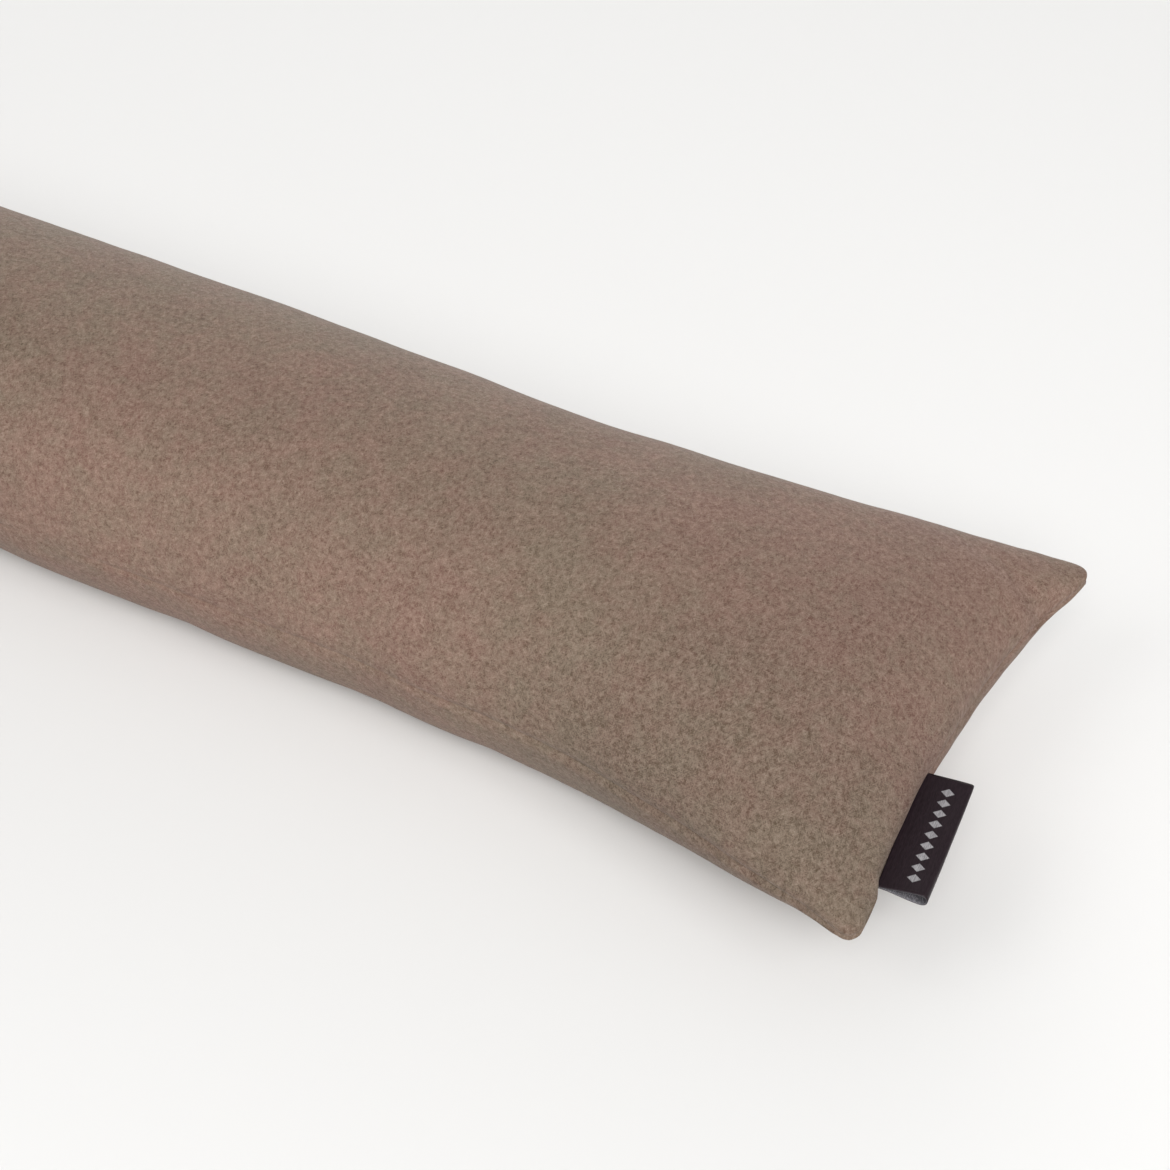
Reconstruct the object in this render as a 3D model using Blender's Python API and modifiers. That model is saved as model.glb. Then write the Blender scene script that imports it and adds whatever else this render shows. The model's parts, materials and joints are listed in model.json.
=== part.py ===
"""Draught excluder: a long felt cushion, stuffed firm, with a folded ribbon label in one end seam.

Two equal felt panels are sewn together round all four sides, turned and stuffed.
The cushion lies on its back panel. +X runs along it towards the label, and +Y across
it, away from the corner that the label is near. The origin is on the floor, under the
middle. Lengths are in metres, and the tables are in millimetres.
"""

import math
from collections import namedtuple

import bmesh
import bpy
from mathutils import Vector

MM = 0.001

# The flat cut.
PANEL_LENGTH = 0.900
PANEL_WIDTH = 0.200
SEAM_TAKE_UP = 0.003
LENGTH_TAKE_UP = 0.005
SEAM_THICKNESS = 0.0032
CORNER_RADIUS = 0.007
HALF_LENGTH = PANEL_LENGTH / 2 - LENGTH_TAKE_UP
TIP_HALF_WIDTH = PANEL_WIDTH / 2 - SEAM_TAKE_UP

# How the stuffing fills the cover towards an end seam, and how hard it presses on the floor.
FILLING_OUT = 0.120
PINCH_POWER = 2.0
PINCH_ROUNDNESS = 0.52
SECTION_POWER = 2.3
FULL_ROUNDNESS = 0.53
FLAT_ROUNDNESS = 0.66
FLOOR_PRESS = 0.009
FLOOR_BLEND = 0.0040
DRAW_IN_REACH = 0.070
DRAW_IN_POWER = 1.2

# Each row is a section across the cushion. From the label end's tips: how far along it
# is, the half widths at the front and back seams, the crown and the two seams' heights.
Section = namedtuple("Section", "along front back crown seam_front seam_back")
SECTIONS = (
    Section(0, 99, 99, 90, 41, 49),
    Section(22, 93, 95, 92, 42, 48),
    Section(50, 88, 88, 93, 42, 47),
    Section(85, 80, 80, 93, 42, 45),
    Section(130, 73, 75, 94, 42, 43),
    Section(185, 71, 71, 94, 42, 43),
    Section(250, 71, 72, 96, 42, 42),
    Section(330, 74, 73, 96, 42, 42),
    Section(420, 75, 73, 96, 42, 42),
    Section(520, 73, 72, 95, 41, 42),
    Section(610, 71, 71, 94, 41, 42),
    Section(690, 71, 70, 94, 42, 42),
    Section(750, 74, 72, 94, 43, 42),
    Section(805, 80, 78, 93, 44, 42),
    Section(840, 87, 85, 92, 45, 41),
    Section(868, 94, 92, 91, 46, 41),
    Section(890, 99, 98, 90, 47, 41),
)

# How far the end seams are drawn in between their tips, -1 at the front and 1 at the back.
EndSeam = namedtuple("EndSeam", "across label_end far_end")
END_SEAMS = (
    EndSeam(-1.00, 3.6, 1.6),
    EndSeam(-0.88, 4.0, 0.6),
    EndSeam(-0.75, 5.8, 4.0),
    EndSeam(-0.46, 9.0, 9.2),
    EndSeam(-0.19, 11.6, 11.8),
    EndSeam(0.05, 11.4, 12.4),
    EndSeam(0.28, 11.4, 11.6),
    EndSeam(0.50, 9.4, 9.4),
    EndSeam(0.65, 7.8, 7.0),
    EndSeam(0.77, 5.8, 5.2),
    EndSeam(0.88, 2.4, 3.6),
    EndSeam(0.94, 1.2, 3.0),
    EndSeam(1.00, 0.4, 3.2),
)

# Soft lumps (+) and hollows (-) of the stuffing in the top panel.
Lump = namedtuple("Lump", "along across reach_along reach_across height")
LUMPS = (
    Lump(62, 0.55, 34, 0.34, -2.2),
    Lump(70, -0.60, 30, 0.30, -2.0),
    Lump(150, 0.45, 55, 0.40, -1.8),
    Lump(235, -0.25, 60, 0.45, 1.2),
    Lump(315, 0.40, 48, 0.40, 1.5),
    Lump(470, -0.30, 62, 0.45, 1.4),
    Lump(560, 0.35, 52, 0.40, -1.6),
    Lump(660, -0.35, 58, 0.42, 1.3),
    Lump(740, 0.25, 46, 0.40, -1.4),
    Lump(822, -0.50, 30, 0.32, -2.0),
    Lump(828, 0.55, 32, 0.32, -1.8),
)

# The side seams wander in and out by two slow waves, front and back out of step.
Wave = namedtuple("Wave", "length height phase_front phase_back")
SEAM_WAVES = (
    Wave(83, 0.7, 0.4, 2.6),
    Wave(47, 0.4, 1.9, 0.2),
)

# Each panel's grid. Crowding of 1 draws its lines closest together at the seams, 0 not at all.
PANEL_ROWS = 72
PANEL_COLUMNS = 22
ROW_CROWDING = 0.85
COLUMN_CROWDING = 1.0

# The label: a ribbon folded in half, with its two cut ends in the label end's seam.
LABEL_WIDTH = 0.052
LABEL_REACH = 0.0150
LABEL_CENTRE = -0.0470
RIBBON_THICKNESS = 0.0010
LABEL_LOOP = 0.0018
LABEL_ROOT = 0.0012
LABEL_GAP = 0.0003
TANGENT_STEP = 0.02
LABEL_COLUMNS = 8
LABEL_STEPS = 40

FELT_COLOUR = (0.255, 0.183, 0.140, 1.0)
RIBBON_COLOUR = (0.014, 0.011, 0.014, 1.0)


def clear_scene():
    for old in list(bpy.data.objects):
        bpy.data.objects.remove(old)


def cloth_material(name, colour, roughness, sheen):
    material = bpy.data.materials.new(name)
    material.use_nodes = True
    shader = material.node_tree.nodes["Principled BSDF"]
    shader.inputs["Base Color"].default_value = colour
    shader.inputs["Roughness"].default_value = roughness
    shader.inputs["Metallic"].default_value = 0.0
    shader.inputs["Sheen Weight"].default_value = sheen
    return material


def new_object(name, mesh, material, collection):
    mesh.materials.append(material)
    made = bpy.data.objects.new(name, mesh)
    collection.objects.link(made)
    return made


def read_table(table, key, column, at):
    """The column's value at a place between the rows, on one smooth curve through them."""
    places = [getattr(row, key) for row in table]
    values = [getattr(row, column) for row in table]
    last = len(table) - 1
    at = min(max(at, places[0]), places[-1])
    k = max(i for i in range(last) if places[i] <= at)

    def slope(i):
        low, high = max(i - 1, 0), min(i + 1, last)
        return (values[high] - values[low]) / (places[high] - places[low])

    span = places[k + 1] - places[k]
    t = (at - places[k]) / span
    return (
        values[k] * (1 + 2 * t) * (1 - t) ** 2
        + values[k + 1] * (3 - 2 * t) * t**2
        + span * t * (1 - t) * (slope(k) * (1 - t) - slope(k + 1) * t)
    )


def section_size(column, along):
    return read_table(SECTIONS, "along", column, along / MM) * MM


def corner_cut(from_end):
    """How much the rounded corner takes off the half width this near an end seam."""
    if from_end >= CORNER_RADIUS:
        return 0.0
    left = 1 - from_end / CORNER_RADIUS
    return CORNER_RADIUS * (1 - math.sqrt(1 - left**2))


def seam_wave(along, across):
    """How far the side seam wanders outwards, faded to nothing at both ends."""
    fade = math.sqrt(math.sin(math.pi * along / (2 * HALF_LENGTH)))
    total = 0.0
    for wave in SEAM_WAVES:
        phase = wave.phase_back if across > 0 else wave.phase_front
        total += wave.height * math.sin(2 * math.pi * along / MM / wave.length + phase)
    return total * MM * fade


def half_width(along, across):
    size = section_size("back" if across > 0 else "front", along)
    from_end = min(along, 2 * HALF_LENGTH - along)
    return size - corner_cut(from_end) + seam_wave(along, across)


def drawn_in(along, across):
    """How far a point is pulled back from its end by the cloth's path over the crown."""
    at_label = along < HALF_LENGTH
    from_end = along if at_label else 2 * HALF_LENGTH - along
    column = "label_end" if at_label else "far_end"
    depth = read_table(END_SEAMS, "across", column, across) * MM
    return depth * math.exp(-((from_end / DRAW_IN_REACH) ** DRAW_IN_POWER))


def seam_height(along, across):
    front = section_size("seam_front", along)
    back = section_size("seam_back", along)
    return front + (back - front) * (across + 1) / 2


def fullness(along):
    """0 at an end seam, and 1 where the stuffing fills the whole section."""
    from_end = min(along, 2 * HALF_LENGTH - along)
    filled = min(from_end / FILLING_OUT, 1.0)
    return (1 - (1 - filled) ** PINCH_POWER) ** PINCH_ROUNDNESS


def arch(along, across):
    """The panel's rise between its side seams, from 0 at a seam to 1 at the middle."""
    full = fullness(along)
    roundness = FLAT_ROUNDNESS + (FULL_ROUNDNESS - FLAT_ROUNDNESS) * full
    return full * max(1 - abs(across) ** SECTION_POWER, 0.0) ** roundness


def lumps(along, across):
    total = 0.0
    for lump in LUMPS:
        a = (along / MM - lump.along) / lump.reach_along
        b = (across - lump.across) / lump.reach_across
        total += lump.height * math.exp(-(a**2) - b**2)
    return total * MM * (1 - across**2)


def above_floor(height):
    """The height itself well above the floor, easing to 0 where the stuffing presses on it."""
    t = max(height / FLOOR_BLEND, 0.0)
    if t >= 1:
        return height
    return FLOOR_BLEND * t**2 * (2 - t)


def cushion_point(along, across, side):
    """A point of the cover. side is 1 on the top panel and -1 on the back panel."""
    seam = seam_height(along, across)
    rise = arch(along, across)
    if side > 0:
        start = seam + SEAM_THICKNESS / 2
        z = start + (section_size("crown", along) - start) * rise
        z += lumps(along, across) * rise
    else:
        start = seam - SEAM_THICKNESS / 2
        z = above_floor(start - (start + FLOOR_PRESS) * rise)
    direction = 1 if along < HALF_LENGTH else -1
    x = HALF_LENGTH - along - direction * drawn_in(along, across)
    return Vector((x, across * half_width(along, across), z))


def crowded(place, crowding):
    """Moves the places -1 to 1 of even rows closer together towards both ends."""
    return (1 - crowding) * place + crowding * math.sin(math.pi / 2 * place)


def add_panel(bm, side):
    """One felt panel as an even grid, laid on its side of the cushion."""
    grid = bmesh.ops.create_grid(
        bm, x_segments=PANEL_ROWS, y_segments=PANEL_COLUMNS, size=1.0
    )
    for vertex in grid["verts"]:
        along = HALF_LENGTH * (1 - crowded(vertex.co.x, ROW_CROWDING))
        across = crowded(vertex.co.y, COLUMN_CROWDING)
        vertex.co = cushion_point(along, across, side)
    faces = {face for vertex in grid["verts"] for face in vertex.link_faces}
    if side < 0:
        bmesh.ops.reverse_faces(bm, faces=list(faces))


def make_cushion(collection):
    """The filled cushion: both panels, joined all round by the seam."""
    bm = bmesh.new()
    add_panel(bm, 1)
    add_panel(bm, -1)
    rims = [edge for edge in bm.edges if edge.is_boundary]
    bmesh.ops.bridge_loops(bm, edges=rims)
    bmesh.ops.recalc_face_normals(bm, faces=bm.faces)
    mesh = bpy.data.meshes.new("cushion")
    bm.to_mesh(mesh)
    bm.free()
    mesh.shade_smooth()
    felt = cloth_material("felt", FELT_COLOUR, 0.95, 0.3)
    return new_object("cushion", mesh, felt, collection)


def label_end_seam(y):
    """The middle of the label end's seam at this y, and its outward direction in plan."""

    def seam_point(across):
        point = cushion_point(0.0, across, 1)
        return Vector((point.x, point.y, seam_height(0.0, across)))

    across = y / half_width(0.0, -1.0)
    tangent = seam_point(across + TANGENT_STEP) - seam_point(across - TANGENT_STEP)
    outward = Vector((tangent.y, -tangent.x, 0.0)).normalized()
    return seam_point(across), outward


def ribbon_profile(place):
    """The folded ribbon's middle line as (out, up), for a place from -1 to 1 along it."""
    fold = LABEL_LOOP - RIBBON_THICKNESS / 2
    root = LABEL_ROOT - RIBBON_THICKNESS / 2
    bend_at = LABEL_REACH - RIBBON_THICKNESS / 2 - fold
    leg = bend_at - LABEL_GAP
    bend = math.pi * fold
    from_fold = place * (leg + bend / 2)
    past_bend = abs(from_fold) - bend / 2
    if past_bend <= 0:
        angle = from_fold / fold
        return bend_at + fold * math.cos(angle), fold * math.sin(angle)
    t = past_bend / leg
    up = fold + (root - fold) * (3 - 2 * t) * t**2
    return bend_at - past_bend, math.copysign(up, place)


def make_label(collection):
    """The label as one bent sheet, with both its ends against the end seam."""
    bm = bmesh.new()
    grid = bmesh.ops.create_grid(
        bm, x_segments=LABEL_STEPS, y_segments=LABEL_COLUMNS, size=1.0
    )
    for vertex in grid["verts"]:
        out, up = ribbon_profile(vertex.co.x)
        y = LABEL_CENTRE + LABEL_WIDTH / 2 * vertex.co.y
        seam, outward = label_end_seam(y)
        vertex.co = seam + outward * out + Vector((0, 0, up))
    mesh = bpy.data.meshes.new("label")
    bm.to_mesh(mesh)
    bm.free()
    mesh.shade_smooth()
    ribbon = cloth_material("ribbon", RIBBON_COLOUR, 0.45, 0.1)
    label = new_object("label", mesh, ribbon, collection)
    solidify = label.modifiers.new("ribbon thickness", "SOLIDIFY")
    solidify.thickness = RIBBON_THICKNESS
    solidify.offset = 0.0
    solidify.use_even_offset = True
    return label


def main():
    clear_scene()
    collection = bpy.data.collections.new("draught_excluder")
    bpy.context.scene.collection.children.link(collection)
    make_cushion(collection)
    make_label(collection)


main()
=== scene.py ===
"""A long felt draught excluder lying on a pale floor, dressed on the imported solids.

The frame's cushion gives the shape. Its seam is found in the frame's mesh and turned into a
groove between two felt lips, and the cover is swelled as cloth. The label is rebuilt as a
thin woven ribbon. Lengths are in metres, in the frame's own axes.
"""

import json
import math
from collections import namedtuple

import bmesh
import bpy
import numpy as np
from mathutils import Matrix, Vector, kdtree, noise

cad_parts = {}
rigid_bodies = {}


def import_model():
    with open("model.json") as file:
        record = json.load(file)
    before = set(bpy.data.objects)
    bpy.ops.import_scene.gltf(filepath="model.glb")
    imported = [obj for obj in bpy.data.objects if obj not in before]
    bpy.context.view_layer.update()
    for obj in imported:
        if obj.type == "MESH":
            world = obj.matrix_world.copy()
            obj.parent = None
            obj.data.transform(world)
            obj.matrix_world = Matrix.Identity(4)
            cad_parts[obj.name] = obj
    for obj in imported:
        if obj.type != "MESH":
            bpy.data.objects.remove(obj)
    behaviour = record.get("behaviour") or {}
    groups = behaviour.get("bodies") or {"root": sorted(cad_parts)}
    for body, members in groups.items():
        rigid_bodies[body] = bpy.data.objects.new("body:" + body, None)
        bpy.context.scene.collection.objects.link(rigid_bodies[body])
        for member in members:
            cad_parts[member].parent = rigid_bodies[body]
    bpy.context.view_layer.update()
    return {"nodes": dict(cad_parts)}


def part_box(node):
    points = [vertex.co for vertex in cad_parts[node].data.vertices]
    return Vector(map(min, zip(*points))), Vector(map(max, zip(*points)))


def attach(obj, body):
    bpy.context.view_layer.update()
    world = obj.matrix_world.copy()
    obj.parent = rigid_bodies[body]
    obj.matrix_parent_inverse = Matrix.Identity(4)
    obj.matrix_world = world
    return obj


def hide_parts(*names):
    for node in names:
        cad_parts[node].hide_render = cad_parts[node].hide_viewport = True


for startup_object in list(bpy.data.objects):
    bpy.data.objects.remove(startup_object)
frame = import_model()
cad_low, cad_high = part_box("cushion")

MM = 0.001


# Small helpers


def direction(azimuth, elevation):
    """The unit vector from the object towards a camera or light at these angles in degrees."""
    azimuth, elevation = math.radians(azimuth), math.radians(elevation)
    return Vector(
        (
            math.sin(azimuth) * math.cos(elevation),
            -math.cos(azimuth) * math.cos(elevation),
            math.sin(elevation),
        )
    )


def link_object(name, data):
    made = bpy.data.objects.new(name, data)
    bpy.context.scene.collection.objects.link(made)
    return made


def face_back(obj, towards):
    """Turns a camera or light to look away from this direction."""
    obj.rotation_mode = "QUATERNION"
    obj.rotation_quaternion = towards.to_track_quat("Z", "Y")


def mesh_from(bm, name):
    """The bmesh as a mesh of this name. The bmesh is freed."""
    mesh = bpy.data.meshes.new(name)
    bm.to_mesh(mesh)
    bm.free()
    return mesh


def apply_modifiers(obj):
    """Replaces the object's mesh by the one its modifiers make."""
    graph = bpy.context.evaluated_depsgraph_get()
    made = bpy.data.meshes.new_from_object(obj.evaluated_get(graph))
    obj.modifiers.clear()
    old, obj.data = obj.data, made
    bpy.data.meshes.remove(old)


def subdivide(obj):
    finer = obj.modifiers.new("finer", "SUBSURF")
    finer.levels = finer.render_levels = 1
    apply_modifiers(obj)


def points_of(mesh):
    flat = np.empty(len(mesh.vertices) * 3)
    mesh.vertices.foreach_get("co", flat)
    return flat.reshape(-1, 3)


def normals_of(mesh):
    flat = np.empty(len(mesh.vertices) * 3)
    mesh.vertex_normals.foreach_get("vector", flat)
    return flat.reshape(-1, 3)


def set_points(mesh, points):
    """Moves the mesh's points here, and none of them below the floor."""
    points[:, 2] = np.maximum(points[:, 2], 0.0)
    mesh.vertices.foreach_set("co", points.ravel())
    mesh.update()


def add_vector_attribute(mesh, name, values):
    made = mesh.attributes.new(name, "FLOAT_VECTOR", "POINT")
    made.data.foreach_set("vector", values.ravel())


def noise_at(points, size, offset=(0, 0, 0)):
    """Smooth noise from -1 to 1 at each point, with features about this size."""
    shift = Vector(offset)
    return np.array([noise.noise(Vector(point) / size + shift) for point in points])


Wave = namedtuple("Wave", "height size offset")


def waves_at(points, waves):
    """The sum of several layers of noise at each point."""
    return sum(wave.height * noise_at(points, wave.size, wave.offset) for wave in waves)


def smoothed(mesh, values, rounds):
    """Values at the vertices, each evened out with its neighbours a number of times."""
    ends = np.empty(len(mesh.edges) * 2, dtype=int)
    mesh.edges.foreach_get("vertices", ends)
    a, b = ends.reshape(-1, 2).T
    count = np.bincount(ends, minlength=len(values))[:, None]
    for _ in range(rounds):
        around = np.zeros_like(values)
        np.add.at(around, a, values[b])
        np.add.at(around, b, values[a])
        values = 0.5 * values + 0.5 * around / count
    return values


# Shader nodes

# Nearly all of a noise texture's values lie between these two.
NOISE_LOW, NOISE_HIGH = 0.3, 0.7


def add_node(tree, kind, inputs=None, **settings):
    """A shader node with its settings, and its inputs set to values or linked to sockets."""
    made = tree.nodes.new(kind)
    for name, value in settings.items():
        setattr(made, name, value)
    for name, value in (inputs or {}).items():
        if isinstance(value, bpy.types.NodeSocket):
            tree.links.new(value, made.inputs[name])
        else:
            made.inputs[name].default_value = value
    return made


def math_node(tree, operation, *values):
    """The result of one math operation on values or sockets."""
    return add_node(
        tree, "ShaderNodeMath", dict(enumerate(values)), operation=operation
    ).outputs[0]


def vector_math(tree, operation, inputs, output):
    return add_node(tree, "ShaderNodeVectorMath", inputs, operation=operation).outputs[output]


def scaled(tree, value, factor):
    return math_node(tree, "MULTIPLY", value, factor)


def total(tree, *values):
    result = values[0]
    for value in values[1:]:
        result = math_node(tree, "ADD", result, value)
    return result


def mix_colour(tree, factor, a, b):
    """Colour a where the factor is 0, and b where it is 1."""
    inputs = {0: factor, 6: a, 7: b}
    return add_node(tree, "ShaderNodeMix", inputs, data_type="RGBA").outputs[2]


def remap(tree, value, low, high, to_low=0.0, to_high=1.0):
    """The value moved from one range to another, smoothly and kept inside it."""
    return add_node(
        tree,
        "ShaderNodeMapRange",
        {0: value, 1: low, 2: high, 3: to_low, 4: to_high},
        interpolation_type="SMOOTHSTEP",
    ).outputs[0]


def attribute_node(tree, name):
    return add_node(tree, "ShaderNodeAttribute", attribute_name=name).outputs["Vector"]


def noise_node(tree, place, size, detail=2.0, roughness=0.5, distortion=0.0):
    """Noise from 0 to 1 with features about this size."""
    inputs = {
        "Vector": place,
        "Scale": 1 / size,
        "Detail": detail,
        "Roughness": roughness,
        "Distortion": distortion,
    }
    return add_node(tree, "ShaderNodeTexNoise", inputs).outputs["Fac"]


def fibre_node(tree, place, angle, length, width, seed):
    """Noise drawn out along one direction on the cloth, as lying fibres are."""
    turned = add_node(
        tree,
        "ShaderNodeMapping",
        {
            "Vector": place,
            "Location": (seed, 0.37 * seed, 0.11 * seed),
            "Rotation": (0, 0, math.radians(angle)),
            "Scale": (length, width, width * 4),
        },
        vector_type="TEXTURE",
    ).outputs[0]
    return noise_node(tree, turned, 1.0, detail=1.0, distortion=0.5)


def link_bump(tree, shader, height, strength, distance):
    inputs = {"Height": height, "Strength": strength, "Distance": distance}
    bump = add_node(tree, "ShaderNodeBump", inputs)
    tree.links.new(bump.outputs["Normal"], shader.inputs["Normal"])


def new_material(name, **shader_values):
    """A new material with these shader values, its node tree and its shader."""
    material = bpy.data.materials.new(name)
    material.use_nodes = True
    shader = material.node_tree.nodes["Principled BSDF"]
    for socket, value in shader_values.items():
        shader.inputs[socket.replace("_", " ")].default_value = value
    return material, material.node_tree, shader


# The felt's material

OLIVE = (0.164, 0.1205, 0.0855, 1)
ROSE = (0.186, 0.1130, 0.0855, 1)

# Soft changes over the felt: centre and reach in mm, and what is added to the tone, where 1
# is plain, and to the hue, where 0 is olive and 1 is rose. The hue is the wool's own colour.
# The tone is painted light and shade: lighter at the left front, darker at the near corner
# and along the lower front towards it.
Tint = namedtuple("Tint", "x y z reach tone hue")
TINTS_AND_PAINTED_SHADE = (
    Tint(140, -62, 66, 120, 0.05, 0.37),
    Tint(265, -64, 64, 70, 0.02, 0.27),
    Tint(335, 12, 90, 55, 0.0, 0.28),
    Tint(405, 20, 78, 130, 0.0, 0.58),
    Tint(310, -35, 88, 45, 0.0, -0.15),
    # These last three rows darken the near corner and the lower front: painted shade.
    Tint(340, -80, 45, 80, -0.09, -0.35),
    Tint(425, -95, 42, 70, -0.06, -0.30),
    Tint(400, -60, 62, 120, -0.12, 0.0),
)

# Layers of noise in the wool, finest first: the texture's settings, and the shares of tone
# or hue that its lowest and highest values add.
Layer = namedtuple("Layer", "size detail roughness distortion low high")
CURL = Layer(1.0 * MM, 2.0, 0.6, 1.2, -0.22, 0.22)
MOTTLE = Layer(2.1 * MM, 1.0, 0.5, 0.4, -0.14, 0.14)
WOOL_HUE = Layer(4.2 * MM, 2.0, 0.6, 0.6, 0.22, 0.58)
PATCH_HUE = Layer(13 * MM, 1.0, 0.5, 0.4, -0.18, 0.18)
CLOUD = Layer(34 * MM, 2.0, 0.5, 0.0, -0.03, 0.03)
DRIFT_HUE = Layer(55 * MM, 1.5, 0.5, 0.0, -0.18, 0.18)

# The fibres that lie on the felt: their directions in degrees, their size, the noise values
# between which one shows, and the light that they add: its colour, and how much of it the
# pale and the dark ones add.
FIBRE_ANGLES = (8, 47, 88, 131)
FIBRE_LENGTH = 2.4 * MM
FIBRE_WIDTH = 0.36 * MM
FIBRE_SEED = 0.013
PALE_FROM, PALE_FULL = 0.56, 0.72
DARK_FROM, DARK_FULL = 0.44, 0.28
FIBRE_TONE = (0.152, 0.126, 0.103)
PALE_SHARE = 0.36
DARK_SHARE = -0.22

# The felt's relief: its finest grain, and how high strokes and grain stand beside a curl.
GRAIN_SIZE = 0.5 * MM
STROKE_HEIGHT = 0.4
GRAIN_HEIGHT = 0.6
FELT_BUMP = {"strength": 0.35, "distance": 0.25 * MM}


def layer_node(tree, place, layer):
    return noise_node(tree, place, layer.size, layer.detail, layer.roughness, layer.distortion)


def share_of(tree, value, layer):
    """What a layer's noise adds, from its lowest share to its highest."""
    return remap(tree, value, NOISE_LOW, NOISE_HIGH, layer.low, layer.high)


def felt_fibres(tree, place):
    """How far each spot is on a pale fibre and on a dark one, both from 0 to 1."""
    pale, dark = 0.0, 0.0
    for k, angle in enumerate(FIBRE_ANGLES, 1):
        fibres = fibre_node(tree, place, angle, FIBRE_LENGTH, FIBRE_WIDTH, FIBRE_SEED * k)
        pale = math_node(tree, "MAXIMUM", pale, remap(tree, fibres, PALE_FROM, PALE_FULL))
        dark = math_node(tree, "MAXIMUM", dark, remap(tree, fibres, DARK_FROM, DARK_FULL))
    return pale, dark


def wool_colour_and_painted_shading(tree, at):
    """The wool's colour under its fibres: olive and rose, with soft random changes of tone,
    and painted light and shade: lighter at the left front, darker at the near corner.
    """
    tone = total(tree, share_of(tree, layer_node(tree, at, CLOUD), CLOUD), 1.0)
    hue = total(
        tree,
        *(
            share_of(tree, layer_node(tree, at, layer), layer)
            for layer in (WOOL_HUE, PATCH_HUE, DRIFT_HUE)
        ),
    )
    # Each tint's tone is painted shading: painted light at the left front, painted shade at the
    # near corner and along the lower front.
    for tint_and_shade in TINTS_AND_PAINTED_SHADE:
        centre = (tint_and_shade.x * MM, tint_and_shade.y * MM, tint_and_shade.z * MM)
        gap = vector_math(tree, "DISTANCE", {0: at, 1: centre}, "Value")
        near = remap(tree, gap, tint_and_shade.reach * MM, 0.0)
        tone = total(tree, tone, scaled(tree, near, tint_and_shade.tone))
        hue = total(tree, hue, scaled(tree, near, tint_and_shade.hue))
    colour = mix_colour(tree, math_node(tree, "MAXIMUM", hue, 0.0), OLIVE, ROSE)
    return vector_math(tree, "SCALE", {0: colour, "Scale": tone}, "Vector")


def felt_material():
    """Melange wool felt: mottles of olive and rose wool, and lying fibres, pale and dark,
    with painted light and shade in the wool's tone.
    """
    material, tree, shader = new_material(
        "felt", Roughness=0.95, Sheen_Weight=0.04, Sheen_Roughness=0.4
    )
    place = attribute_node(tree, "cloth_place")
    at = add_node(tree, "ShaderNodeTexCoord").outputs["Object"]

    pale, dark = felt_fibres(tree, place)
    curl = layer_node(tree, at, CURL)
    light = total(
        tree,
        scaled(tree, pale, PALE_SHARE),
        scaled(tree, dark, DARK_SHARE),
        share_of(tree, layer_node(tree, at, MOTTLE), MOTTLE),
        share_of(tree, curl, CURL),
    )
    inputs = {0: FIBRE_TONE, 1: light, 2: wool_colour_and_painted_shading(tree, at)}
    colour = vector_math(tree, "MULTIPLY_ADD", inputs, "Vector")
    tree.links.new(colour, shader.inputs["Base Color"])

    strokes = math_node(tree, "SUBTRACT", pale, dark)
    grain = noise_node(tree, place, GRAIN_SIZE)
    height = total(
        tree, scaled(tree, strokes, STROKE_HEIGHT), curl, scaled(tree, grain, GRAIN_HEIGHT)
    )
    link_bump(tree, shader, height, **FELT_BUMP)
    return material


# The ribbon's size and material

LABEL_WIDTH = 52 * MM
LABEL_LENGTH = 36 * MM

# The ribbon's face, the marks woven in it, and its back. Each pair is the colour between two
# threads and the colour on one.
FACE_COLOURS = (0.012, 0.0066, 0.009, 1), (0.021, 0.0125, 0.0165, 1)
MARK_COLOURS = (0.20, 0.19, 0.20, 1), (0.36, 0.35, 0.36, 1)
BACK_COLOURS = (0.07, 0.068, 0.076, 1), (0.22, 0.21, 0.225, 1)

# The weave: ribs across the ribbon, long threads along them, short flecks on the back, and
# the raised selvedge, measured from the middle. A wave texture at scale 1 repeats every
# WAVE_PITCH.
WAVE_PITCH = math.pi / 10
RIB_PITCH = 2 * math.pi * 0.30 * MM
THREAD = {"angle": 90, "length": 2.2 * MM, "width": 0.22 * MM, "seed": 0.05}
FLECK = {"angle": 90, "length": 0.8 * MM, "width": 0.2 * MM, "seed": 0.09}
FLECK_FROM, FLECK_FULL = 0.45, 0.7
THREAD_HEIGHT = 0.6
SELVEDGE_FROM, SELVEDGE_FULL = 24.6 * MM, 25.4 * MM
RIBBON_BUMP = {"strength": 0.5, "distance": 0.06 * MM}

# The generic row of lozenges woven in the label, across its upper face. The last two say
# between which multiples of its size a lozenge's outline is softened.
LOZENGES = 9
LOZENGE_PITCH = 4.9 * MM
LOZENGE_WIDTH = 3.7 * MM
LOZENGE_HEIGHT = 4.6 * MM
LOZENGE_PLACE = 7.6 * MM
LOZENGE_OUTSIDE, LOZENGE_INSIDE = 1.05, 0.92


def lozenges(tree, along, across):
    """1 inside a plain row of lozenges across the label's upper face, and 0 elsewhere."""
    from_row = math_node(tree, "SUBTRACT", along, LOZENGE_PLACE)
    up = math_node(tree, "DIVIDE", from_row, LOZENGE_HEIGHT / 2)
    nearest = math_node(tree, "PINGPONG", across, LOZENGE_PITCH / 2)
    over = math_node(tree, "DIVIDE", nearest, LOZENGE_WIDTH / 2)
    outward = total(tree, math_node(tree, "ABSOLUTE", up), over)
    inside = remap(tree, outward, LOZENGE_OUTSIDE, LOZENGE_INSIDE)
    row_end = LOZENGES / 2 * LOZENGE_PITCH
    in_row = math_node(tree, "LESS_THAN", math_node(tree, "ABSOLUTE", across), row_end)
    return math_node(tree, "MULTIPLY", inside, in_row)


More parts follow.
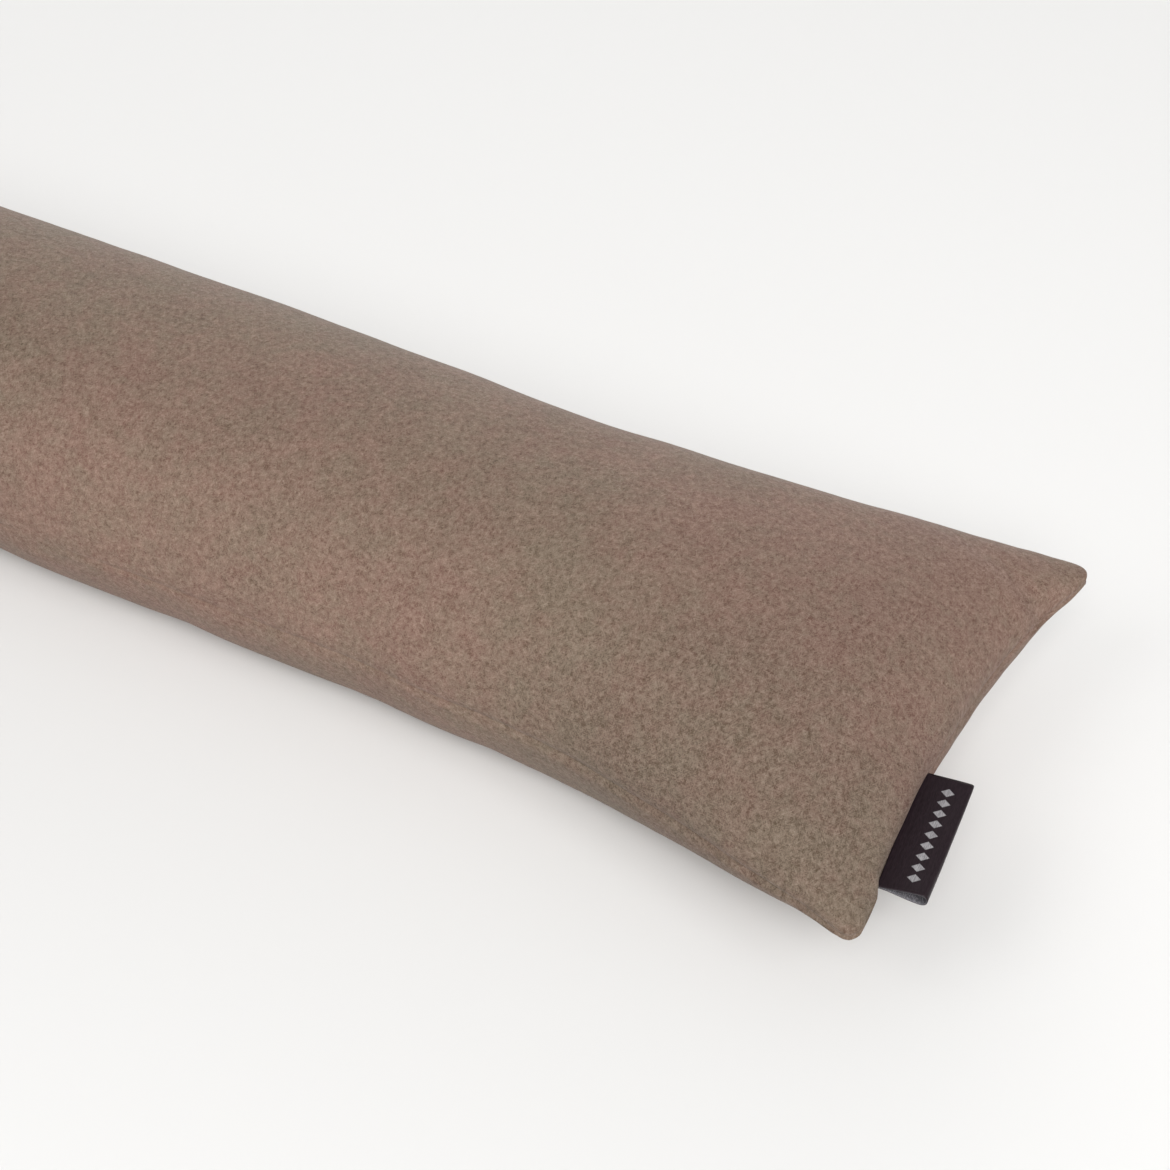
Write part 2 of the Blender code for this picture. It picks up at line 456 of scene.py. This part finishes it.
def ribbon_material():
    """Woven satin: near black with fine ribs, and a grey woven back flecked with pale thread."""
    material, tree, shader = new_material("ribbon", Roughness=0.4, Specular_IOR_Level=0.18)
    place = attribute_node(tree, "ribbon_place")
    parts = add_node(tree, "ShaderNodeSeparateXYZ", {0: place}).outputs
    along, across, on_back = parts["X"], parts["Y"], parts["Z"]

    scale = WAVE_PITCH / RIB_PITCH
    waves = {"Vector": place, "Scale": scale, "Distortion": 0.4, "Detail": 1.0}
    ribs = add_node(tree, "ShaderNodeTexWave", waves, bands_direction="X").outputs["Fac"]
    threads = fibre_node(tree, place, **THREAD)
    flecks = fibre_node(tree, place, **FLECK)
    marks = lozenges(tree, along, across)

    on_thread = remap(tree, threads, NOISE_LOW, NOISE_HIGH)
    on_fleck = remap(tree, flecks, FLECK_FROM, FLECK_FULL)
    ground = mix_colour(tree, on_thread, *FACE_COLOURS)
    face = mix_colour(tree, marks, ground, mix_colour(tree, on_thread, *MARK_COLOURS))
    back = mix_colour(tree, on_fleck, *BACK_COLOURS)
    tree.links.new(mix_colour(tree, on_back, face, back), shader.inputs["Base Color"])

    from_middle = math_node(tree, "ABSOLUTE", across)
    selvedge = remap(tree, from_middle, SELVEDGE_FROM, SELVEDGE_FULL)
    height = total(tree, ribs, marks, scaled(tree, threads, THREAD_HEIGHT), selvedge)
    link_bump(tree, shader, height, **RIBBON_BUMP)
    return material


# The cushion's shape

# Two points this close in the frame's mesh are one, or one above the other.
SAME_PLACE = 1e-5

# The seam: the frame's narrow upright band round the cushion, which becomes a groove
# between the two panels' turned edges, shallower at the corner tips.
SEAM_BAND_MAX = 3.6 * MM
GROOVE_DEPTH = 2.3 * MM
TIP_GROOVE_LESS = 0.55
TIP_REACH = 26 * MM

# The cloth pass: the stuffing's push, the felt's weight and stiffness, the frames that it
# runs, how far it may move a point, the share by which the cloth is cut larger, the share
# of its slow swelling that is kept, and the height below which a point is held.
PRESSURE = 4.0
CLOTH_QUALITY = 5
CLOTH_MASS = 0.3
STRETCH_STIFFNESS = 15
SHEAR_STIFFNESS = 5
BENDING_STIFFNESS = 0.5
CLOTH_FRAMES = 20
CLOTH_CAP = 4.0 * MM
SPARE_CLOTH = 0.001
SWELL_KEPT = 0.12
SMOOTHING_ROUNDS = 40
ON_FLOOR = 1.0 * MM

# How much the unseen stuffing lifts the underside between the floor and the seam.
BELLY_LIFT = 2.6 * MM

# The cover's slow unevenness, which fades out at the seam, and the puckers beside the seam.
# The two panels' puckers differ, because one panel reads its noise this far above the seam
# and the other this far below it.
UNEVENNESS = (
    Wave(0.7 * MM, 75 * MM, (0, 0, 0)),
    Wave(0.22 * MM, 24 * MM, (3.1, 0, 0)),
    Wave(0.05 * MM, 7 * MM, (0, 5.2, 0)),
)
FADE_AT_SEAM = 6 * MM
PUCKERS = (Wave(0.55 * MM, 11 * MM, (0, 0, 0)), Wave(0.30 * MM, 6 * MM, (0, 0, 7.7)))
PUCKER_REACH = 9 * MM
PANEL_OFFSET = 0.4

# The seam's small wandering from its straight line, in plan.
WANDER = 0.45 * MM
WANDER_SIZE = 15 * MM
WANDER_REACH = 9 * MM
WANDER_OFFSETS = (11.3, 27.1)

# The label's place in the end seam, and how it pulls the seam in: how far, how much less at
# its far side, how soon that fades out beside the label and away from the seam, and how
# near to the cushion's end a point has to be.
LABEL_CENTRE = -47 * MM
LABEL_PULL = 1.8 * MM
PULL_LESS_FAR = 0.5
PULL_BESIDE = 7 * MM
PULL_REACH = 8 * MM
END_REACH = 40 * MM

# Short folds that run in from the end seams: where each starts on the seam, the way it runs
# in plan, how far it reaches, how wide it is and how high it stands, in mm and degrees. A
# fold rises over its first few mm.
Fold = namedtuple("Fold", "end y heading reach width height")
FOLDS = (
    Fold(1, 64, 172, 42, 5.0, -0.9),
    Fold(1, 52, 168, 30, 5.0, 0.6),
    Fold(1, 14, 182, 26, 5.0, -0.6),
    Fold(1, -18, 176, 24, 6.0, -0.5),
    Fold(1, -80, 190, 30, 5.0, -0.8),
    Fold(-1, 58, 5, 36, 5.0, -0.9),
    Fold(-1, 6, -3, 28, 5.0, -0.6),
    Fold(-1, -52, 4, 34, 5.5, -0.8),
)
FOLD_START = 6.0

# The fibres are placed on the flat cloth, which is measured in slices along the cushion. It
# is drawn out a little where the cushion falls away to its ends, and follows the section's
# round shape fully where the section is high for its width.
SLICES = 89
END_DRAW = 0.55
LEAST_RISE = 2 * MM
HEIGHT_SHARE = 0.3
ROUND_FROM = 1.5


def groove_depth(place):
    """How deep the seam's groove is at this place: shallower at the four corner tips."""
    tips = [Vector((x, y)) for x in (cad_low.x, cad_high.x) for y in (cad_low.y, cad_high.y)]
    nearest = min((place.xy - tip).length for tip in tips)
    return GROOVE_DEPTH * (1 - TIP_GROOVE_LESS * math.exp(-((nearest / TIP_REACH) ** 2)))


def felt_cage():
    """The frame's cushion as quads, with a creased loop sunk along the middle of its seam."""
    bm = bmesh.new()
    bm.from_mesh(frame["nodes"]["cushion"].data)
    sunk = bm.verts.layers.float.new("seam")
    crease = bm.edges.layers.float.new("crease_edge")
    bmesh.ops.remove_doubles(bm, verts=bm.verts, dist=SAME_PLACE)
    bmesh.ops.join_triangles(
        bm, faces=bm.faces, angle_face_threshold=math.pi, angle_shape_threshold=math.pi
    )
    upright = []
    for edge in bm.edges:
        a, b = (vertex.co for vertex in edge.verts)
        if (a.xy - b.xy).length < SAME_PLACE and edge.calc_length() < SEAM_BAND_MAX:
            upright.append(edge)
    cut = bmesh.ops.subdivide_edges(bm, edges=upright, cuts=1, use_grid_fill=True)
    seam = [v for v in cut["geom_inner"] if isinstance(v, bmesh.types.BMVert)]
    bm.normal_update()
    loop = set(seam)
    for vertex in seam:
        outward = Vector((vertex.normal.x, vertex.normal.y, 0.0)).normalized()
        vertex.co -= outward * groove_depth(vertex.co)
        vertex[sunk] = 1.0
        for edge in vertex.link_edges:
            if edge.other_vert(vertex) in loop:
                edge[crease] = 1.0
    return mesh_from(bm, "cushion_felt")


def on_seam(mesh):
    """Which of the mesh's points are on the sunk loop of the seam."""
    marks = np.empty(len(mesh.vertices))
    mesh.attributes["seam"].data.foreach_get("value", marks)
    return marks > 0.99


def run_cloth(obj, held):
    """Runs the cloth pass, with the held points fixed, and applies it."""
    obj.vertex_groups.new(name="held").add(held.tolist(), 1.0, "REPLACE")
    cloth = obj.modifiers.new("cloth", "CLOTH")
    settings = cloth.settings
    settings.quality = CLOTH_QUALITY
    settings.mass = CLOTH_MASS
    settings.tension_stiffness = STRETCH_STIFFNESS
    settings.compression_stiffness = STRETCH_STIFFNESS
    settings.shear_stiffness = SHEAR_STIFFNESS
    settings.bending_stiffness = BENDING_STIFFNESS
    settings.use_pressure = True
    settings.uniform_pressure_force = PRESSURE
    settings.shrink_min = -SPARE_CLOTH
    settings.vertex_group_mass = "held"
    settings.effector_weights.gravity = 0.0
    cloth.point_cache.frame_start = 1
    cloth.point_cache.frame_end = CLOTH_FRAMES
    scene = bpy.context.scene
    for step in range(1, CLOTH_FRAMES + 1):
        scene.frame_set(step)
    apply_modifiers(obj)
    scene.frame_set(1)
    obj.vertex_groups.clear()


def swell(obj):
    """Pushes the cover out as cloth under the stuffing, held at its seam and on the floor.

    The CAD's shape is already the swollen one, so mostly the cloth's short folds are kept.
    """
    before = points_of(obj.data)
    run_cloth(obj, np.where(on_seam(obj.data) | (before[:, 2] < ON_FLOOR))[0])
    moved = points_of(obj.data) - before
    length = np.linalg.norm(moved, axis=1)
    moved *= np.minimum(1.0, CLOTH_CAP / np.maximum(length, 1e-9))[:, None]
    swelling = smoothed(obj.data, moved, SMOOTHING_ROUNDS)
    folds = moved - swelling
    set_points(obj.data, before + folds + SWELL_KEPT * swelling)


def nearest_on(loop, points):
    """Each point's nearest place on the seam, and how far off it is."""
    tree = kdtree.KDTree(len(loop))
    for k, point in enumerate(loop):
        tree.insert(point, k)
    tree.balance()
    found = [tree.find(point) for point in points]
    places = np.array([tuple(place) for place, _, _ in found])
    return places, np.array([distance for _, _, distance in found])


def label_pull(points, gap):
    """How far the label draws each point in along the cushion."""
    from_label = np.abs(points[:, 1] - LABEL_CENTRE) - LABEL_WIDTH / 2
    beside = np.clip(0.5 - from_label / PULL_BESIDE, 0, 1)
    eased = beside**2 * (3 - 2 * beside)
    over_label = np.clip((points[:, 1] - LABEL_CENTRE) / LABEL_WIDTH + 0.5, 0, 1)
    skew = 1 - PULL_LESS_FAR * over_label
    at_end = points[:, 0] > cad_high.x - END_REACH
    return LABEL_PULL * skew * eased * np.exp(-gap / PULL_REACH) * at_end


def fold_heights(points):
    """How high the short folds at the ends stand at each point."""
    heights = np.zeros(len(points))
    for fold in FOLDS:
        heading = math.radians(fold.heading)
        ahead = np.array([math.cos(heading), math.sin(heading)])
        sideways = np.array([-ahead[1], ahead[0]])
        end_x = cad_high.x if fold.end > 0 else cad_low.x
        from_start = points[:, :2] - np.array([end_x, fold.y * MM])
        run, off = from_start @ ahead / MM, from_start @ sideways / MM
        fading = np.exp(-((np.maximum(run, 0) / fold.reach) ** 2))
        body = np.clip(run / FOLD_START, 0, 1) * fading
        heights += fold.height * MM * body * np.exp(-((off / fold.width) ** 2))
    return heights


def dress_surface(obj):
    """Moves the cover along its normals: slow unevenness, puckers along the seam and folds."""
    mesh = obj.data
    points, normals = points_of(mesh), normals_of(mesh)
    nearest, gap = nearest_on(points[on_seam(mesh)], points)
    above = normals[:, 2] > 0
    away = 1 - np.exp(-((gap / FADE_AT_SEAM) ** 2))
    shift = away * waves_at(points, UNEVENNESS)

    below = np.clip(points[:, 2] / nearest[:, 2], 0, 1)
    points[:, 2] += BELLY_LIFT * 4 * below * (1 - below) * ~above
    wander = np.stack(
        [noise_at(nearest, WANDER_SIZE, (offset, 0, 0)) for offset in WANDER_OFFSETS], axis=1
    )
    points[:, :2] += WANDER * np.exp(-gap / WANDER_REACH)[:, None] * wander
    points[:, 0] -= label_pull(points, gap)

    start = nearest.copy()
    start[:, 2] += np.where(above, PANEL_OFFSET, -PANEL_OFFSET)
    shift += away * np.exp(-gap / PUCKER_REACH) * waves_at(start, PUCKERS)
    shift += fold_heights(points) * above
    set_points(mesh, points + normals * shift[:, None])


def seam_line(x, loop):
    """The height of this side of the seam at each x."""
    side = loop[np.argsort(loop[:, 0])]
    return np.interp(x, side[:, 0], side[:, 2])


def cloth_places(points, loop):
    """Each point's place on the flat cloth: along it, across it, and part of its height."""
    x, y, z = points.T
    front, back = (seam_line(x, side) for side in (loop[loop[:, 1] < 0], loop[loop[:, 1] > 0]))
    edges = np.linspace(x.min(), x.max(), SLICES + 1)
    which = np.clip(np.searchsorted(edges, x), 1, SLICES)
    middles = (edges[:-1] + edges[1:]) / 2
    wide = np.array([np.abs(y[which == k]).max() for k in range(1, SLICES + 1)])
    crown = np.array([z[which == k].max() for k in range(1, SLICES + 1)])
    half, top = np.interp(x, middles, wide), np.interp(x, middles, crown)

    seam = front + (back - front) * np.clip(y / half + 1, 0, 2) / 2
    middle = (front + back) / 2
    rise = np.where(z > seam, np.maximum(top - middle, LEAST_RISE), middle)
    level = np.minimum(np.abs(z - seam) / rise, 1.0)
    turn = np.arctan2(level, np.abs(y) / half)
    quarter = math.pi / 4 * (half + rise)
    round_share = np.clip(ROUND_FROM * rise / half, 0, 1)
    round_place = np.sign(y) * (1 - 2 * turn / math.pi) * quarter
    across = (1 - round_share) * y + round_share * round_place
    inner = 1 - np.clip(np.abs(y) / half, 0, 1) ** 2
    along = x + np.sign(x) * END_DRAW * inner * (crown.max() - top)
    return np.stack([along, across, HEIGHT_SHARE * (z - seam)], axis=1)


def make_cushion():
    """The felt cover, dressed on the frame's cushion. Gives the sunk loop of its seam."""
    cushion = link_object("cushion_felt", felt_cage())
    cushion.data.materials.append(felt_material())
    subdivide(cushion)
    swell(cushion)
    subdivide(cushion)
    dress_surface(cushion)
    points = points_of(cushion.data)
    loop = points[on_seam(cushion.data)]
    add_vector_attribute(cushion.data, "cloth_place", cloth_places(points, loop))
    cushion.data.shade_smooth()
    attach(cushion, "root")
    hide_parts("cushion")
    return loop


# The label

# The ribbon's thickness, half the height between its two layers at the seam, the radius of
# its open loop at its far and near ends, and how far its cut ends stay from the groove's
# bottom.
RIBBON_THICKNESS = 0.35 * MM
LABEL_ROOT_HEIGHT = 0.25 * MM
LABEL_LOOP_FAR = 0.8 * MM
LABEL_LOOP_NEAR = 2.1 * MM
LABEL_TUCK = 0.3 * MM

# How much the label's far end is set back, how it droops, more at its near end, and how it
# ripples.
LABEL_TURN = 1.6 * MM
DROOP = 0.6 * MM
NEAR_DROOP = 0.5 * MM
RIPPLE = 0.18 * MM
RIPPLE_RATE, RIPPLE_START = 5.2, 1.1

# The grid of each of the ribbon's two layers, and where the end seam is read for it.
LABEL_STEPS = 90
LABEL_COLUMNS = 52
END_SEAM_DEPTH = 30 * MM
END_SEAM_HALF = 90 * MM


def label_root(loop):
    """The two ends of the straight line that the label leaves the seam by, front first."""
    deep_enough = loop[:, 0] > cad_high.x - END_SEAM_DEPTH
    end = loop[deep_enough & (np.abs(loop[:, 1]) < END_SEAM_HALF)]
    end = end[np.argsort(end[:, 1])]
    near, far = (
        Vector((np.interp(y, end[:, 1], end[:, 0]), y, np.interp(y, end[:, 1], end[:, 2])))
        for y in (LABEL_CENTRE - LABEL_WIDTH / 2, LABEL_CENTRE + LABEL_WIDTH / 2)
    )
    far.x -= LABEL_TURN
    return near, far


def ribbon_point(root, along, across, layer):
    """A point of the folded ribbon. along and across run from -1 to 1, and layer is 0
    on the outer face and 1 on the inner one."""
    line = root[1] - root[0]
    place = root[0] + line * (across + 1) / 2
    outward = Vector((line.y, -line.x, 0.0)).normalized()
    openness = 0.5 - 0.5 * across
    loop = LABEL_LOOP_FAR + (LABEL_LOOP_NEAR - LABEL_LOOP_FAR) * openness**2
    bend = math.pi / 2 * loop
    leg = LABEL_LENGTH / 2 - bend
    from_fold = along * LABEL_LENGTH / 2
    past_bend = abs(from_fold) - bend
    if past_bend <= 0:
        angle = from_fold / loop
        out = leg + loop * math.cos(angle)
        up = loop * math.sin(angle)
        facing = Vector((math.cos(angle), math.sin(angle)))
    else:
        t = past_bend / leg
        out = leg - past_bend
        sign = math.copysign(1, along)
        up = sign * (loop + (LABEL_ROOT_HEIGHT - loop) * (3 - 2 * t) * t**2)
        facing = Vector((0.0, sign))
    inward = (0.5 if layer else -0.5) * RIBBON_THICKNESS
    out -= facing.x * inward
    up -= facing.y * inward
    reach = out / LABEL_LENGTH
    up += RIPPLE * math.sin(RIPPLE_RATE * across + RIPPLE_START) * 2 * reach
    up -= DROOP * reach**2 + NEAR_DROOP * openness**3 * reach
    return place + outward * (out + LABEL_TUCK) + Vector((0, 0, up))


def make_label(loop):
    """The folded ribbon: two grids, its outer and inner faces, joined round their edges."""
    root = label_root(loop)
    bm = bmesh.new()
    mark = bm.verts.layers.float_vector.new("ribbon_place")
    for layer in (0, 1):
        grid = bmesh.ops.create_grid(
            bm, x_segments=LABEL_STEPS, y_segments=LABEL_COLUMNS, size=1.0
        )
        for vertex in grid["verts"]:
            along, across = vertex.co.x, vertex.co.y
            vertex[mark] = (along * LABEL_LENGTH / 2, across * LABEL_WIDTH / 2, layer)
            vertex.co = ribbon_point(root, along, across, layer)
    bmesh.ops.bridge_loops(bm, edges=[edge for edge in bm.edges if edge.is_boundary])
    bmesh.ops.recalc_face_normals(bm, faces=bm.faces)
    label = link_object("label_ribbon", mesh_from(bm, "label_ribbon"))
    label.data.materials.append(ribbon_material())
    label.data.shade_smooth()
    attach(label, "root")
    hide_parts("label")


# The room and the camera

FLOOR_SIZE = 8.0
FLOOR_COLOUR = (0.80, 0.795, 0.785, 1)

# The studio around the floor: even light, more of it low down, and a bright wall behind the
# cushion. A fall says how quickly each fades with height or with the angle from the wall.
STUDIO_COLOUR = (1.0, 0.998, 0.995, 1)
EVEN_LIGHT = 0.38
LOW_LIGHT = 0.60
LOW_FALL = 6.0
WALL_LIGHT = 11.5
WALL_FALL = 24.0
WALL_AZIMUTH, WALL_ELEVATION = 212, 3

# Three wide round lights, at one distance from the middle of what shows.
Lamp = namedtuple("Lamp", "name power azimuth elevation")
LAMPS = (Lamp("key", 113.0, 29, 43), Lamp("side", 77.0, 60, 42), Lamp("fill", 34.0, -35, 42))
LAMP_WIDTH = 2.6
LAMP_DISTANCE = 4.5
LAMP_AIM = Vector((0.25, 0.0, 0.05))

# The photograph's camera, measured from the floor at the middle of the label's end, its
# angles, and its lens.
CAMERA_FROM_LABEL_END = Vector((0.1674, -0.5627, 0.6254))
CAMERA_AZIMUTH, CAMERA_ELEVATION = 30.0, 41.6
CAMERA_LENS_MM = 73.85
CAMERA_SENSOR_MM = 36.0
CAMERA_CLIP = 0.01


def make_floor():
    bpy.ops.mesh.primitive_plane_add(size=FLOOR_SIZE)
    floor = bpy.context.active_object
    floor.name = "floor"
    material, _, _ = new_material("floor", Roughness=0.9, Base_Color=FLOOR_COLOUR)
    floor.data.materials.append(material)


def make_studio():
    world = bpy.data.worlds.new("studio")
    world.use_nodes = True
    tree = world.node_tree
    towards = add_node(tree, "ShaderNodeTexCoord").outputs["Generated"]
    height = add_node(tree, "ShaderNodeSeparateXYZ", {0: towards}).outputs["Z"]
    low = math_node(tree, "EXPONENT", scaled(tree, height, -LOW_FALL))
    wall = direction(WALL_AZIMUTH, WALL_ELEVATION)
    facing = vector_math(tree, "DOT_PRODUCT", {0: towards, 1: wall}, "Value")
    from_wall = math_node(tree, "MULTIPLY_ADD", facing, WALL_FALL, -WALL_FALL)
    strength = total(
        tree,
        EVEN_LIGHT,
        scaled(tree, math_node(tree, "MINIMUM", low, 1.0), LOW_LIGHT),
        scaled(tree, math_node(tree, "EXPONENT", from_wall), WALL_LIGHT),
    )
    background = tree.nodes["Background"]
    tree.links.new(strength, background.inputs["Strength"])
    background.inputs["Color"].default_value = STUDIO_COLOUR
    bpy.context.scene.world = world


def make_lamps():
    for lamp in LAMPS:
        light = bpy.data.lights.new(lamp.name, "AREA")
        light.shape = "DISK"
        light.size = LAMP_WIDTH
        light.energy = lamp.power
        made = link_object(lamp.name, light)
        towards = direction(lamp.azimuth, lamp.elevation)
        made.location = LAMP_AIM + towards * LAMP_DISTANCE
        face_back(made, towards)


def make_camera():
    camera = link_object("camera", bpy.data.cameras.new("camera"))
    label_end = Vector((cad_high.x, 0.0, 0.0))
    camera.location = label_end + CAMERA_FROM_LABEL_END
    face_back(camera, direction(CAMERA_AZIMUTH, CAMERA_ELEVATION))
    camera.data.lens = CAMERA_LENS_MM
    camera.data.sensor_width = CAMERA_SENSOR_MM
    camera.data.clip_start = CAMERA_CLIP
    bpy.context.scene.camera = camera


make_camera()
make_floor()
make_studio()
make_lamps()
make_label(make_cushion())
bpy.context.scene.view_settings.view_transform = "Standard"
